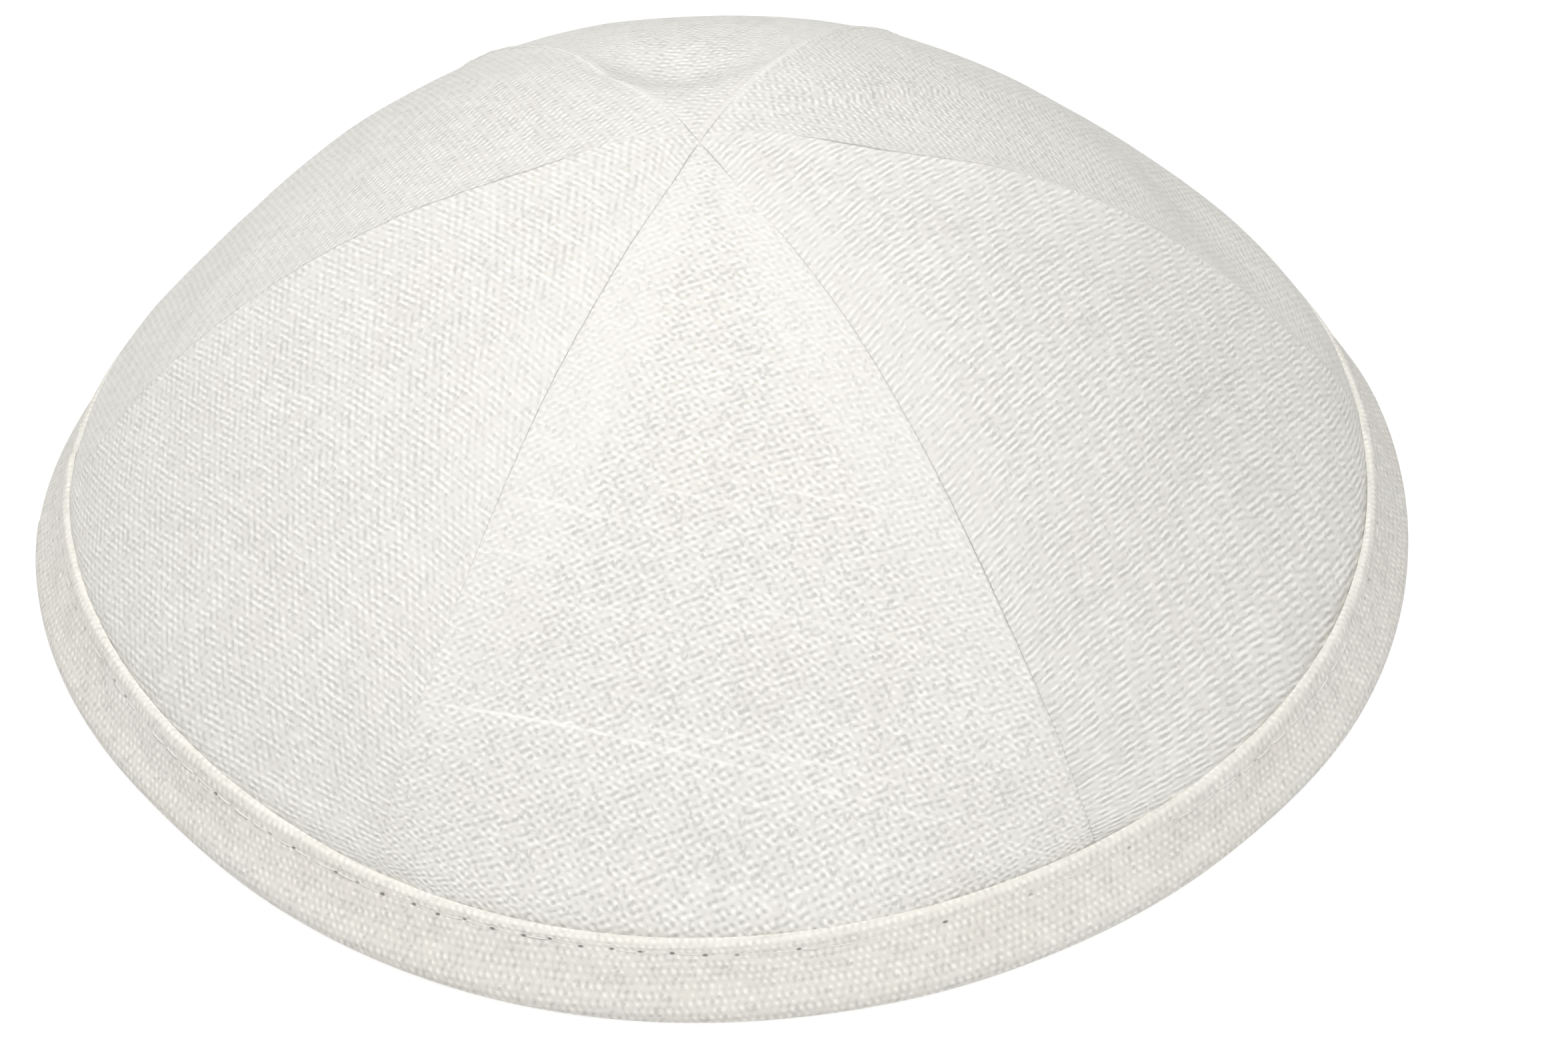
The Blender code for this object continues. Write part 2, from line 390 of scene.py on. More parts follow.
# How far in from a seam these reach: one shared direction, a lip, a drawn-in edge, the small puckers
SHARED_REACH = 3.0
LIP_REACH = 0.7
DRAW_REACH = 1.8
PUCKER_REACH = 2.5
PUCKER_HEIGHT = 0.04
PUCKER_WAVES = 1.35
PUCKER_STRAY = (3, 9.0, 1.3)
# The ledge ends this far past the allowance, and this steeply
LEDGE_PAST = 0.3
LEDGE_STEEPNESS = 2.2
# Where up the crown, and over what length, the crests rise, the hollows and doubled cloth show, and the
# painted highlight on the lips shows
CREST_RAMP = (24.0, 30.0)
HOLLOW_RAMP = (14.0, 14.0)
DOUBLED_RAMP = (15.0, 50.0, 0.15)
LIP_HIGHLIGHT_RAMP = (60.0, 30.0, 0.2)
# Below this half width, near the crown's top, the face's unevenness and the painted shade in the seams'
# grooves fade
FACE_FADE = 12.0
SEAM_SHADE_FADE = 2.0
# Half the width of the painted shade along each seam
SEAM_SHADE_WIDTH = 0.2
# The painted highlight along the raised lips: how far in from the seam, half its width, and its strength
LIP_HIGHLIGHT_IN = 0.2
LIP_HIGHLIGHT_WIDTH = 0.3
LIP_HIGHLIGHT_STRENGTH = 4.0
# The most that a row of threads sags at a gore's sides, and the shift that gives each gore its own cloth
MOST_SAG = 14.0
CLOTH_SHIFT = 200.0
# The cloth thins towards the crown's top, from this half width to this share
FULL_CLOTH = 3.0
THINNEST = 0.08


def swells(azimuth, climb):
    """How far the crown swells out over the band, in mm."""
    total = 0.0 * climb
    for middle, at, height, wide, tall in SWELLS:
        away = turned_from(azimuth, middle) * SWELL_RADIUS
        total = total + height * bell(away, wide) * bell(climb - at, tall)
    return total


def gore_columns(half_width, climb, openness):
    """From the cut edge of the allowance, round the fold at the seam, to the middle of the gore: how far
    in from the seam and how deep under the face each column runs, in mm."""
    fold_width = np.minimum(FOLD_WIDTH * openness, 0.25 * half_width)
    fold_depth = np.minimum(FOLD_DEPTH, 0.5 * half_width)
    clearance = np.minimum(SEAM_CLEARANCE * (0.15 + openness), 0.1 * half_width)
    wander = 1.0 + ALLOWANCE_WANDER[0] * np.sin(climb * ALLOWANCE_WANDER[1])
    allowance = np.minimum(ALLOWANCE, 0.55 * half_width) * wander
    inward = [fold_width + allowance * share for share in ALLOWANCE_SHARES]
    depth = [2 * fold_depth] * len(ALLOWANCE_SHARES)
    for turn in FOLD_TURNS:
        across = abs(math.cos(turn)) ** FOLD_SQUARENESS
        down = abs(math.sin(turn)) ** FOLD_SQUARENESS
        inward.append(fold_width * (1 - across) + clearance)
        depth.append(fold_depth * (1 - math.copysign(down, turn)))
    start = fold_width + clearance
    for share in np.linspace(0.0, 1.0, FACE_COLUMNS + 1) ** FACE_GRADING:
        inward.append(start + (half_width - start) * share)
        depth.append(0.0 * climb)
    return np.array(inward).T, np.array(depth).T, allowance


def both_sides(first, last):
    """Joins the columns from a gore's first seam to its middle with those on to its last seam."""
    return np.concatenate([first, last[:, -2::-1]], axis=1)


def build_gore(gore):
    name, _, grain, threads, *edges = GORES[gore]
    top = float(np.interp(-TIP_RADIUS, -PROFILE[1], PROFILE[0]))
    count = int(round(top / ROW_STEP)) + 1
    climb = np.linspace(0.0, top, count)
    radius = np.interp(climb, PROFILE[0], PROFILE[1])
    first, last = seam_azimuth(gore, radius), seam_azimuth(gore + 1, radius)
    middle = (first + last) / 2
    step = on_crown(middle + 0.01, climb, gore) - on_crown(middle - 0.01, climb, gore)
    half = (last - first) / 2
    half_width = half * np.linalg.norm(step, axis=-1) / 0.02
    openness = [np.maximum(smoothly(radius, SEAMS[seam % 6][2]), 0.05) for seam in (gore, gore + 1)]
    halves = [gore_columns(half_width, climb, share) for share in openness]
    angles = [part[0] / half_width[:, None] * half[:, None] for part in halves]
    azimuth = both_sides(first[:, None] + angles[0], last[:, None] - angles[1])
    inward, depth = (both_sides(halves[0][k], halves[1][k]) for k in (0, 1))
    allowance = halves[0][2]
    centre = angles[0].shape[1] - 1
    is_last = np.arange(azimuth.shape[1]) > centre
    openness = np.where(is_last, openness[1][:, None], openness[0][:, None])
    crest = np.where(is_last, SEAMS[(gore + 1) % 6][3], SEAMS[gore][3])
    level = np.broadcast_to(climb[:, None], azimuth.shape)
    base = on_crown(azimuth, level, gore)
    # towards a seam both its gores are raised along the same direction, so that they still meet
    near = np.exp(-inward / SHARED_REACH)[..., None]
    own_normal, shared_normal = crown_normal(azimuth, level, gore), crown_normal(azimuth, level, None)
    normal = unit(own_normal * (1 - near) + shared_normal * near)
    # the face: slow unevenness, its edges drawn in, small puckers, and the ledge over the allowance
    fade = ramp(half_width, 0.0, FACE_FADE)[:, None]
    ledge, draw, hollow, doubled = (np.where(is_last, pair[1], pair[0]) for pair in edges)
    ledge_edge = soft_step(allowance[:, None] + LEDGE_PAST - inward, LEDGE_STEEPNESS)
    face = sum(height * soft_noise(base, size, seed) for height, size, seed in UNEVEN) * fade
    pulled = np.where(draw < 0, draw, draw * openness)
    pull_reach = np.where(draw < 0, LIP_REACH, DRAW_REACH)
    face += (ledge * ledge_edge - pulled * np.exp(-inward / pull_reach)) * fade
    face += crest * np.exp(-inward / CREST_REACH) * ramp(level, *CREST_RAMP) * fade
    hollow_form = inward / HOLLOW_REACH * np.exp(1.0 - inward / HOLLOW_REACH)
    face -= hollow * hollow_form * ramp(level, *HOLLOW_RAMP) * fade
    stray = PUCKER_STRAY[0] * soft_noise(base, *PUCKER_STRAY[1:])
    face += PUCKER_HEIGHT * np.sin(level * PUCKER_WAVES + stray) * np.exp(-inward / PUCKER_REACH) * fade
    face += swells(azimuth, level)
    points = base + normal * (face - depth)[..., None]
    step = np.linalg.norm(np.diff(base + normal * -depth[..., None], axis=1), axis=-1)
    across = np.concatenate([np.zeros((count, 1)), np.cumsum(step, axis=1)], axis=1)
    across -= across[:, [centre]]
    lean_in = np.abs(np.gradient(radius, climb))
    sag = across**2 * (lean_in / np.maximum(2 * radius, 6.0))[:, None]
    cloth = turned(across, level + np.minimum(sag, MOST_SAG), grain) + CLOTH_SHIFT * (gore + 1)
    piece, row, column = flat_cloth(name.replace("panel", "gore"), points, cloth)
    shows = doubled * ledge_edge * ramp(level, *DOUBLED_RAMP)
    mark(piece, "doubled", shows[row, column])
    # painted shade along the seams, where their grooves lie
    seam_shade = openness * bell(inward, SEAM_SHADE_WIDTH) * ramp(half_width, 0.0, SEAM_SHADE_FADE)[:, None]
    mark(piece, "seam_shade", seam_shade[row, column])
    mark_threads(piece, threads, len(row))
    mark(piece, "shade", dent_shade(base[..., 0], base[..., 1])[row, column])
    # painted highlight along the raised lips beside the seams
    lip_highlight = np.maximum(-draw, 0.0) * bell(inward - LIP_HIGHLIGHT_IN, LIP_HIGHLIGHT_WIDTH) * LIP_HIGHLIGHT_STRENGTH * fade
    mark(piece, "lip_highlight", (lip_highlight * ramp(level, *LIP_HIGHLIGHT_RAMP))[row, column])
    thinning = ramp(half_width, 0.0, FULL_CLOTH)[row] * (1.0 - THINNEST) + THINNEST
    give_thickness(piece, LINEN, thinning)
    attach(piece, "root")
    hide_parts(name)
    return piece


# ---- The rim band ----

# Its section from the inner turned-in edge, down, under the foot and up to the outer turned-in edge. Each
# row is measured up the hem from its bottom, and out from the crown's face, in mm. Drawn is how much the
# topstitch pulls it in, ruffled how much its puckers lift it.
BAND_SECTION = (
    # up, out, drawn, ruffled
    (4.4, -1.5, 0.0, 0.0),
    (6.0, -1.5, 0.0, 0.0),
    (6.5, -1.62, 0.0, 0.0),
    (6.66, -1.98, 0.0, 0.1),
    (6.35, -2.34, 0.1, 0.3),
    (5.6, -2.34, 0.6, 0.6),
    (5.0, -2.28, 1.0, 0.8),
    (4.3, -2.34, 0.6, 0.8),
    (3.3, -2.52, 0.1, 0.6),
    (2.0, -2.68, 0.0, 0.3),
    (0.6, -2.66, 0.0, 0.1),
    (-0.7, -2.3, 0.0, 0.0),
    (-1.62, -1.45, 0.0, 0.0),
    (-2.3, -0.15, 0.0, 0.0),
    (-2.85, 1.25, 0.0, 0.0),
    (-2.45, 2.25, 0.0, 0.0),
    (-1.2, 2.7, 0.0, 0.1),
    (0.3, 2.47, 0.0, 0.3),
    (1.7, 2.16, 0.0, 0.5),
    (2.8, 2.04, 0.0, 0.8),
    (3.8, 1.95, 0.1, 0.9),
    (4.7, 1.87, 0.4, 0.9),
    (5.55, 1.81, 1.0, 0.5),
    (6.05, 1.81, 0.5, 0.4),
    (6.7, 1.81, 0.1, 0.2),
    (7.15, 1.75, 0.0, 0.2),
    (7.45, 1.56, 0.0, 0.1),
    (7.68, 1.28, 0.0, 0.0),
    (7.55, 0.96, 0.0, 0.0),
    (6.6, 0.84, 0.0, 0.0),
    (5.2, 0.7, 0.0, 0.0),
)
SECTION_STEP = 0.62
OUTER_FROM = -0.6
RIM_RADIUS = 84.0
BAND_LINEN = 0.42
BIAS_TURN = 52.0
WELD = 0.00002
# Where the strip bellies out, or below 0 lies in, under the stitching: azimuth in degrees and mm
BELLIES = ((218.0, -0.45), (286.0, 0.4), (316.0, -0.6))
BELLY_REACH = 13.0
BELLY_RAMP = (6.0, -4.0)
# Where the band's outer edge was turned up less far: azimuth in degrees, how much less and its reach, in mm
LOW_EDGE = 264.0
LOW_EDGE_DROP = 0.65
LOW_EDGE_REACH = 55.0
# Behind this the band lies flatter: what it keeps of its belly there. Right and left: the sine of the
# azimuth at which that begins, and how steeply.
SNUG_OUT = 0.62
SNUG_SHARE = 0.45
SNUG_RIGHT = (0.32, 20.0)
SNUG_LEFT = (0.14, 10.0)
# At the sides the roll along the edge is thicker: how far up it is, its width, and how much out and up
ROLL_UP = 6.9
ROLL_WIDTH = 0.8
ROLL_THICKER = (0.12, 0.15)
# The painted highlight along the roll's top: how far up, its width, and its strength and unevenness
ROLL_HIGHLIGHT_UP = 7.3
ROLL_HIGHLIGHT_WIDTH = 0.38
ROLL_HIGHLIGHT = (0.42, 0.35)
# The needle holes' dimples, and how the cloth stands up between them and ripples: height, size and seed
DIMPLE = 0.3
DIMPLE_WIDTH = 0.5
SEAT = 0.02
PUFF = 0.2
PUFF_WIDTH = 1.2
RIPPLE = (0.16, 3.6, 5.5)
UPRIGHT_RIPPLE = (0.22, 7.5, 2.2)
UPRIGHT = 0.45
# Slanting drag lines: height, lines to a mm of rim over 2 pi, slant, and how they stray
DRAG = 0.07
DRAG_WAVES = 0.72
DRAG_SLANT = 1.5
DRAG_STRAY = 2.5
INNER_SHARE = 0.3
STITCHES = 148
STEPS_PER_STITCH = 6
# The rows of stitches: up and out
OUTER_STITCH = (5.55, 2.0)
INNER_STITCH = (5.0, -2.28)
# Where the stitches were pulled tight: azimuth in degrees, reach in mm, and least and added pull
TIGHT = (254.0, 36.0, 0.15, 0.8)
# Where the strip's last end lies over its first: azimuth in degrees, how far it is felt, its slant and
# steepness, and how far it is raised out and up
LAP_AZIMUTH = 177.0
LAP_LENGTH = 14.0
LAP_SLANT = 0.5
LAP_STEEPNESS = 4.0
LAP_RAISED = (0.38, 0.55)


def hem_axes():
    low, high = np.array(HEM_BOTTOM), np.array(HEM_TOP)
    up = (high - low) / np.linalg.norm(high - low)
    return low, up, np.array([up[1], -up[0]])


def smooth_section(table, spacing):
    """The rows of a section joined by a smooth curve, taken again at even steps."""
    rows = np.array(table, dtype=float)
    ends = np.concatenate([[2 * rows[0] - rows[1]], rows, [2 * rows[-1] - rows[-2]]])
    fine = []
    for i in range(1, len(ends) - 2):
        a, b, c, d = ends[i - 1], ends[i], ends[i + 1], ends[i + 2]
        for t in np.linspace(0, 1, 12, endpoint=False):
            fine.append(0.5 * (2 * b + (c - a) * t + (2 * a - 5 * b + 4 * c - d) * t**2
                               + (3 * b - a - 3 * c + d) * t**3))
    fine = np.array(fine + [rows[-1]])
    length = np.concatenate([[0.0], np.cumsum(np.hypot(*np.diff(fine[:, :2], axis=0).T))])
    count = int(round(length[-1] / spacing)) + 1
    even = np.linspace(0.0, length[-1], count)
    return even, np.stack([np.interp(even, length, fine[:, k]) for k in range(fine.shape[1])], axis=1)


def on_band(azimuth, up, out):
    """Points of the band in mm, from a place on its section."""
    low, along, outward = hem_axes()
    lower = LOW_EDGE_DROP * bell(turned_from(azimuth, LOW_EDGE) * RIM_RADIUS, LOW_EDGE_REACH)
    up = up - lower * ramp(up, 2.0, 5.0) * ramp(out, 0.6, 0.6)
    radius = low[0] + along[0] * up + outward[0] * out
    height = low[1] + along[1] * up + outward[1] * out
    spread = radius * (1.0 + wave_sum(RIM_WAVES, azimuth))
    return np.stack([spread * np.cos(azimuth), spread * np.sin(azimuth), np.maximum(height, 0.02)], axis=-1)


def stitch_places():
    """Azimuths of the needle holes, a little uneven, and how far each strays up or down the band, in mm."""
    rng = np.random.default_rng(7)
    step = math.tau / STITCHES
    azimuth = (np.arange(STITCHES) + rng.uniform(-0.13, 0.13, STITCHES)) * step
    drift = 0.45 * np.sin(3 * azimuth + 0.6) + 0.25 * np.sin(7 * azimuth + 2.0)
    middle, reach, least, added = TIGHT
    tight = least + added * bell((azimuth - math.radians(middle)) * RIM_RADIUS, reach)
    pull = np.clip(tight + rng.uniform(-0.35, 0.35, STITCHES), 0.0, 1.0)
    return azimuth, drift + rng.uniform(-0.12, 0.12, STITCHES), pull


HOLES, HOLE_DRIFT, HOLE_PULL = stitch_places()


def around_rim(values, azimuth):
    """A value at each needle hole, carried smoothly round to any azimuth."""
    wide = np.concatenate([HOLES - math.tau, HOLES, HOLES + math.tau])
    return np.interp(azimuth % math.tau, wide, np.tile(values, 3))


def snug(azimuth, out):
    """At the back the band lies flatter against the crown."""
    middle, steepness = (np.where(np.cos(azimuth) > 0, *pair) for pair in zip(SNUG_RIGHT, SNUG_LEFT))
    full = soft_step(middle - np.sin(azimuth), steepness)
    belly = (out - SNUG_OUT) * (SNUG_SHARE + (1 - SNUG_SHARE) * full)
    return np.where(out > SNUG_OUT, SNUG_OUT + belly, out)


def build_band():
    path, section = smooth_section(BAND_SECTION, SECTION_STEP)
    count = STITCHES * STEPS_PER_STITCH
    azimuth = np.linspace(0.0, math.tau, count + 1) + math.radians(LAP_AZIMUTH)
    az, level = np.meshgrid(azimuth, section[:, 0])
    out, drawn, ruffled = (np.repeat(section[:, [k]], count + 1, axis=1) for k in (1, 2, 3))
    outer = out > OUTER_FROM
    side = np.where(outer, 1.0, -1.0)
    drift = around_rim(HOLE_DRIFT, az) * np.clip(drawn + ruffled, 0, 1)
    up = level + drift * np.where(outer, 1.0, INNER_SHARE)
    # each hole pulls the cloth into a dimple, and the cloth between two holes stands up
    gap = np.abs((az[..., None] - HOLES + math.pi) % math.tau - math.pi) * RIM_RADIUS
    pull = HOLE_PULL[gap.argmin(axis=-1)]
    away = gap.min(axis=-1)
    dimple = SEAT * drawn + DIMPLE * drawn**3 * pull * bell(away, DIMPLE_WIDTH)
    base = on_band(az, up, out)
    ripple = soft_noise(base, *RIPPLE[1:]) * RIPPLE[0]
    ripple = ripple + soft_noise(base * (1.0, 1.0, UPRIGHT), *UPRIGHT_RIPPLE[1:]) * UPRIGHT_RIPPLE[0]
    puff = ruffled * (PUFF * (1 - bell(away, PUFF_WIDTH)) + ripple)
    # slanting drag lines, as a bias strip has, where it was pulled while it was sewn
    place = (az * RIM_RADIUS + up * DRAG_SLANT) * DRAG_WAVES
    slant = np.sin(place + DRAG_STRAY * soft_noise(base, 16.0, 9.4))
    drag = ruffled * DRAG * slant * np.clip(soft_noise(base, 22.0, 4.0) * 2 + 0.5, 0, 1)
    out = out + side * (puff + drag - dimple)
    # the roll along its edge is thicker at the sides, and the strip bellies out more or less
    thicker = ramp(np.abs(np.cos(az)), 0.6, 0.35) * bell(up - ROLL_UP, ROLL_WIDTH) * ramp(out, 1.0, 0.6)
    out = out + ROLL_THICKER[0] * thicker
    up = up + ROLL_THICKER[1] * thicker
    for middle, height in BELLIES:
        off = turned_from(az, middle) * RIM_RADIUS
        out = out + height * bell(off, BELLY_REACH) * ramp(up, *BELLY_RAMP) * outer
    # the lap: the strip's last end lies over its first
    turn = turned_from(az, LAP_AZIMUTH) * RIM_RADIUS
    lap = soft_step(turn + LAP_SLANT * (up - 3.0), LAP_STEEPNESS) * ramp(turn, LAP_LENGTH, -LAP_LENGTH)
    raised = np.where(outer, lap, 0.0) * ramp(up, -3.0, 3.0)
    out = out + LAP_RAISED[0] * raised
    up = up + LAP_RAISED[1] * raised * ramp(up, 3.0, 3.0)
    points = on_band(az, up, snug(az, out))
    cloth = turned(az * RIM_RADIUS, np.repeat(path[:, None], count + 1, axis=1), BIAS_TURN)
    piece, row, column = flat_cloth("bias_rim_band", points, cloth)
    # how hard each needle hole was pulled, which sets the painted shade in it
    mark(piece, "hole", (outer * drawn * pull)[row, column])
    # painted highlight along the top of the roll, kept with the seams' painted highlight
    roll_highlight = outer * bell(level - ROLL_HIGHLIGHT_UP, ROLL_HIGHLIGHT_WIDTH)
    roll_highlight = roll_highlight * (ROLL_HIGHLIGHT[0] + ROLL_HIGHLIGHT[1] * soft_noise(base, 5.0, 6.6))
    mark(piece, "lip_highlight", roll_highlight[row, column])
    mark_threads(piece, "bias", len(row))
    # a second map for the needle holes: stitches round the rim, whole at each hole, and mm up from the row
    even = np.arange(STITCHES) * math.tau / STITCHES
    stray = np.interp(az % math.tau, HOLES, HOLES - even)
    stitching = np.stack([(az - stray) * STITCHES / math.tau, level - OUTER_STITCH[0]], axis=-1)
    fill_map(piece.data.uv_layers.new(name="stitching"), piece.data, stitching, row, column)
    pick(piece)
    edit_all(bpy.ops.mesh.remove_doubles, threshold=WELD)
    give_thickness(piece, BAND_LINEN)
    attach(piece, "root")
    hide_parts("rim_band")
    return piece


# ---- Topstitching ----

THREAD = 0.11
STITCH_SIDES = 6
STITCH_SEGMENTS = 6
# A stitch leaves this share of its length free at each end, sinks this deep there, and rises this far
STITCH_END = 0.03
STITCH_SUNK = 0.62
STITCH_RISE = 0.42
# Its thickness at the ends, as a share of the thread's
STITCH_THIN = 0.55


def stitch_form():
    """One stitch, still straight: a closed tube along +X from 0 to 1, of radius 1."""
    bpy.ops.mesh.primitive_cylinder_add(vertices=STITCH_SIDES, radius=1.0, depth=1.0, end_fill_type="TRIFAN",
                                        rotation=(0.0, math.pi / 2, 0.0), location=(0.5, 0.0, 0.0))
    stitch = bpy.context.object
    bpy.ops.object.transform_apply()
    for k in range(1, STITCH_SEGMENTS):
        edit_all(bpy.ops.mesh.bisect, plane_co=(k / STITCH_SEGMENTS, 0, 0), plane_no=(1, 0, 0))
    return stitch


def build_stitches(name, place, outward):
    """A row of stitches from hole to hole round the rim."""
    form = stitch_form()
    shape = np.array([v.co[:] for v in form.data.vertices])
    copies = []
    up0, out0 = place
    for k in range(STITCHES):
        after = (k + 1) % STITCHES
        share = shape[:, 0] * (1 - 2 * STITCH_END) + STITCH_END
        az = HOLES[k] + (HOLES[after] - HOLES[k]) % math.tau * share
        drift = HOLE_DRIFT[k] + (HOLE_DRIFT[after] - HOLE_DRIFT[k]) * share
        drift = drift * (1.0 if outward > 0 else INNER_SHARE)
        bow = 1.0 - (2 * share - 1.0) ** 4
        thick = THREAD * (STITCH_THIN + (1 - STITCH_THIN) * bow)
        out = out0 + outward * (STITCH_RISE * bow - STITCH_SUNK) + shape[:, 2] * thick
        up = up0 + drift + shape[:, 1] * thick
        points = on_band(az, up, snug(az, out))
        copy = form.copy()
        copy.data = form.data.copy()
        copy.data.vertices.foreach_set("co", mm(points).ravel())
        bpy.context.collection.objects.link(copy)
        copies.append(copy)
    bpy.data.objects.remove(form)
    pick(copies[0])
    for copy in copies:
        copy.select_set(True)
    bpy.ops.object.join()
    row = bpy.context.object
    row.name = row.data.name = name
    edit_all(bpy.ops.mesh.normals_make_consistent, inside=False)
    bpy.ops.object.shade_smooth_by_angle(angle=SMOOTH_ANGLE)
    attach(row, "root")
    return row


# ---- Materials ----

def wire(tree, kind, inputs=(), **settings):
    """Adds a shader node, sets it, and joins or sets its inputs, by name or number."""
    node = tree.nodes.new("ShaderNode" + kind)
    for key, value in settings.items():
        setattr(node, key, value)
    for key, value in dict(inputs).items():
        socket = node.inputs[key]
        if isinstance(value, bpy.types.NodeSocket):
            tree.links.new(value, socket)
        else:
            socket.default_value = value
    return node


def calc(tree, operation, a, b=0.0, c=0.0, clamp=False):
    return wire(tree, "Math", {0: a, 1: b, 2: c}, operation=operation, use_clamp=clamp).outputs[0]


def arithmetic(tree):
    """Short names for what a node tree reckons most; the last is a product and a sum."""
    return (partial(calc, tree, kind) for kind in ("ADD", "SUBTRACT", "MULTIPLY", "MULTIPLY_ADD"))


def new_group(name, numbers, results):
    """An empty node group that takes a place and these numbers and gives these results."""
    tree = bpy.data.node_groups.new(name, "ShaderNodeTree")
    socket = tree.interface.new_socket
    socket("Place", in_out="INPUT", socket_type="NodeSocketVector")
    for number, value in numbers:
        socket(number, in_out="INPUT", socket_type="NodeSocketFloat").default_value = value
    for result in results:
        socket(result, in_out="OUTPUT", socket_type="NodeSocketFloat")
    return tree, tree.nodes.new("NodeGroupInput").outputs, tree.nodes.new("NodeGroupOutput").inputs


def use_group(tree, name, build, place):
    node = tree.nodes.new("ShaderNodeGroup")
    node.node_tree = bpy.data.node_groups.get(name) or build()
    tree.links.new(place, node.inputs["Place"])
    return node


def new_material(name):
    material = bpy.data.materials.new(name)
    material.use_nodes = True
    return material, material.node_tree, material.node_tree.nodes["Principled BSDF"].inputs


def joined(tree, x, y):
    return wire(tree, "CombineXYZ", {0: x, 1: y}).outputs[0]


def split(tree, place):
    return wire(tree, "SeparateXYZ", {0: place}).outputs


def attribute(tree, name):
    return wire(tree, "Attribute", attribute_name=name).outputs["Fac"]


def remap(tree, value, low, high, to_low=0.0, to_high=1.0, kind="SMOOTHSTEP"):
    node = wire(tree, "MapRange", {0: value, 1: low, 2: high, 3: to_low, 4: to_high},
                interpolation_type=kind)
    return node.outputs[0]


def grain_noise(tree, x, y, scale, detail=1.0):
    """Noise between 0 and 1 over the place x, y."""
    place = {"Vector": joined(tree, x, y), "Scale": scale, "Detail": detail}
    return wire(tree, "TexNoise", place, noise_dimensions="2D").outputs["Fac"]


def patches(tree, x, y, stretch, detail=1.0):
    """Noise between 0 and 1 whose patches are stretched along X and Y by one over these numbers."""
    wide, high = (calc(tree, "MULTIPLY", *pair) for pair in zip((x, y), stretch))
    return grain_noise(tree, wide, high, 1.0, detail)


def wave(tree, place):
    return calc(tree, "COSINE", calc(tree, "MULTIPLY", place, math.tau))


def weave_group():
    """Plain weave of uneven, slubby threads. Its place is counted in threads, warp along Y and weft along
    X. It gives the cloth's height, how far a spot lies on a weft float rather than in a gap, the tone of
    the thread on top, how deep the pinholes are, and the mask of the thick threads."""
    tree, given, out = new_group("plain_weave", (
        ("Wander", 1.6), ("Ribbed", 0.0), ("Rows", 1.0), ("Lean", 0.0), ("Ribs", 1.0), ("Slant X", 0.2),
        ("Slant Y", 0.84), ("Slubs", 1.0)), ("Height", "Float", "Tone", "Pinhole", "Slub"))
    plus, minus, times, scaled = arithmetic(tree)
    x, y, _ = split(tree, given["Place"])
    # threads wander slowly together, and jitter a little each for itself
    sway_x = minus(grain_noise(tree, x, y, 0.03, 1.5), 0.5)
    sway_y = minus(grain_noise(tree, plus(x, 70.0), y, 0.03, 1.5), 0.5)
    jitter_x = minus(grain_noise(tree, x, plus(y, 30.0), 0.3), 0.5)
    jitter_y = minus(grain_noise(tree, plus(x, 90.0), y, 0.32), 0.5)
    x = scaled(jitter_x, 0.3, scaled(sway_x, given["Wander"], x))
    y = scaled(jitter_y, 0.34, scaled(sway_y, given["Wander"], y))
    ix, iy = calc(tree, "FLOOR", x), calc(tree, "FLOOR", y)
    # along a row the floats now stand out one by one, now run together
    plain = remap(tree, patches(tree, x, y, (0.24, 0.42)), 0.34, 0.66)
    # warp and weft pass over each other by turns
    turns = times(calc(tree, "SINE", times(x, math.pi)), calc(tree, "SINE", times(y, math.pi)))
    turns = times(turns, scaled(plain, 0.25, 0.32))
    turns = times(turns, scaled(given["Ribbed"], -0.8, 1.0))
    # the weft lies in rows, each thicker and thinner along its way
    rows = times(wave(tree, scaled(x, given["Lean"], y)), -1.0)
    swell = patches(tree, x, iy, (0.28, 7.7))
    thick = times(given["Rows"], remap(tree, swell, 0.32, 0.62, 0.3, 1.3))
    rows = times(rows, times(thick, scaled(plain, 0.22, 0.16)))
    # a second, slanting set of ribs, from how tightly the threads were spun and set
    slant = plus(times(x, given["Slant X"]), times(y, given["Slant Y"]))
    breaks = remap(tree, patches(tree, x, y, (0.22, 0.62)), 0.34, 0.62, 0.2, 1.25)
    ribs = times(times(given["Ribs"], breaks), scaled(plain, -0.22, 0.42))
    ribs = times(wave(tree, slant), ribs)
    on_float = plus(plus(turns, rows), ribs)
    weft = patches(tree, x, iy, (0.05, 17.3), 0.0)
    warp = patches(tree, ix, y, (13.7, 0.13))
    for part, amount in ((swell, 0.8), (weft, 0.2), (warp, 0.5)):
        on_float = scaled(minus(part, 0.5), amount, on_float)
    # open corners between the threads, some of them wide enough that the material paints shade in them
    corner_x, corner_y = calc(tree, "ROUND", x), calc(tree, "ROUND", y)
    off_x, off_y = minus(x, corner_x), minus(y, corner_y)
    off = plus(times(off_x, off_x), times(off_y, off_y))
    corner = {"Vector": joined(tree, corner_x, corner_y)}
    size = wire(tree, "TexWhiteNoise", corner, noise_dimensions="2D").outputs["Value"]
    pinhole = times(remap(tree, off, 0.0, 0.25, 1.0, 0.0), remap(tree, size, 0.8, 1.0))
    slub = times(remap(tree, patches(tree, x, iy, (0.025, 9.1), 0.0), 0.7, 0.82), given["Slubs"])
    fibre = patches(tree, x, y, (1.1, 7.0), 2.0)
    height = scaled(on_float, 0.5, times(pinhole, -0.3))
    height = plus(height, times(slub, 0.4))
    for socket, result in zip(out, (height, on_float, fibre, pinhole, slub)):
        tree.links.new(result, socket)
    return tree


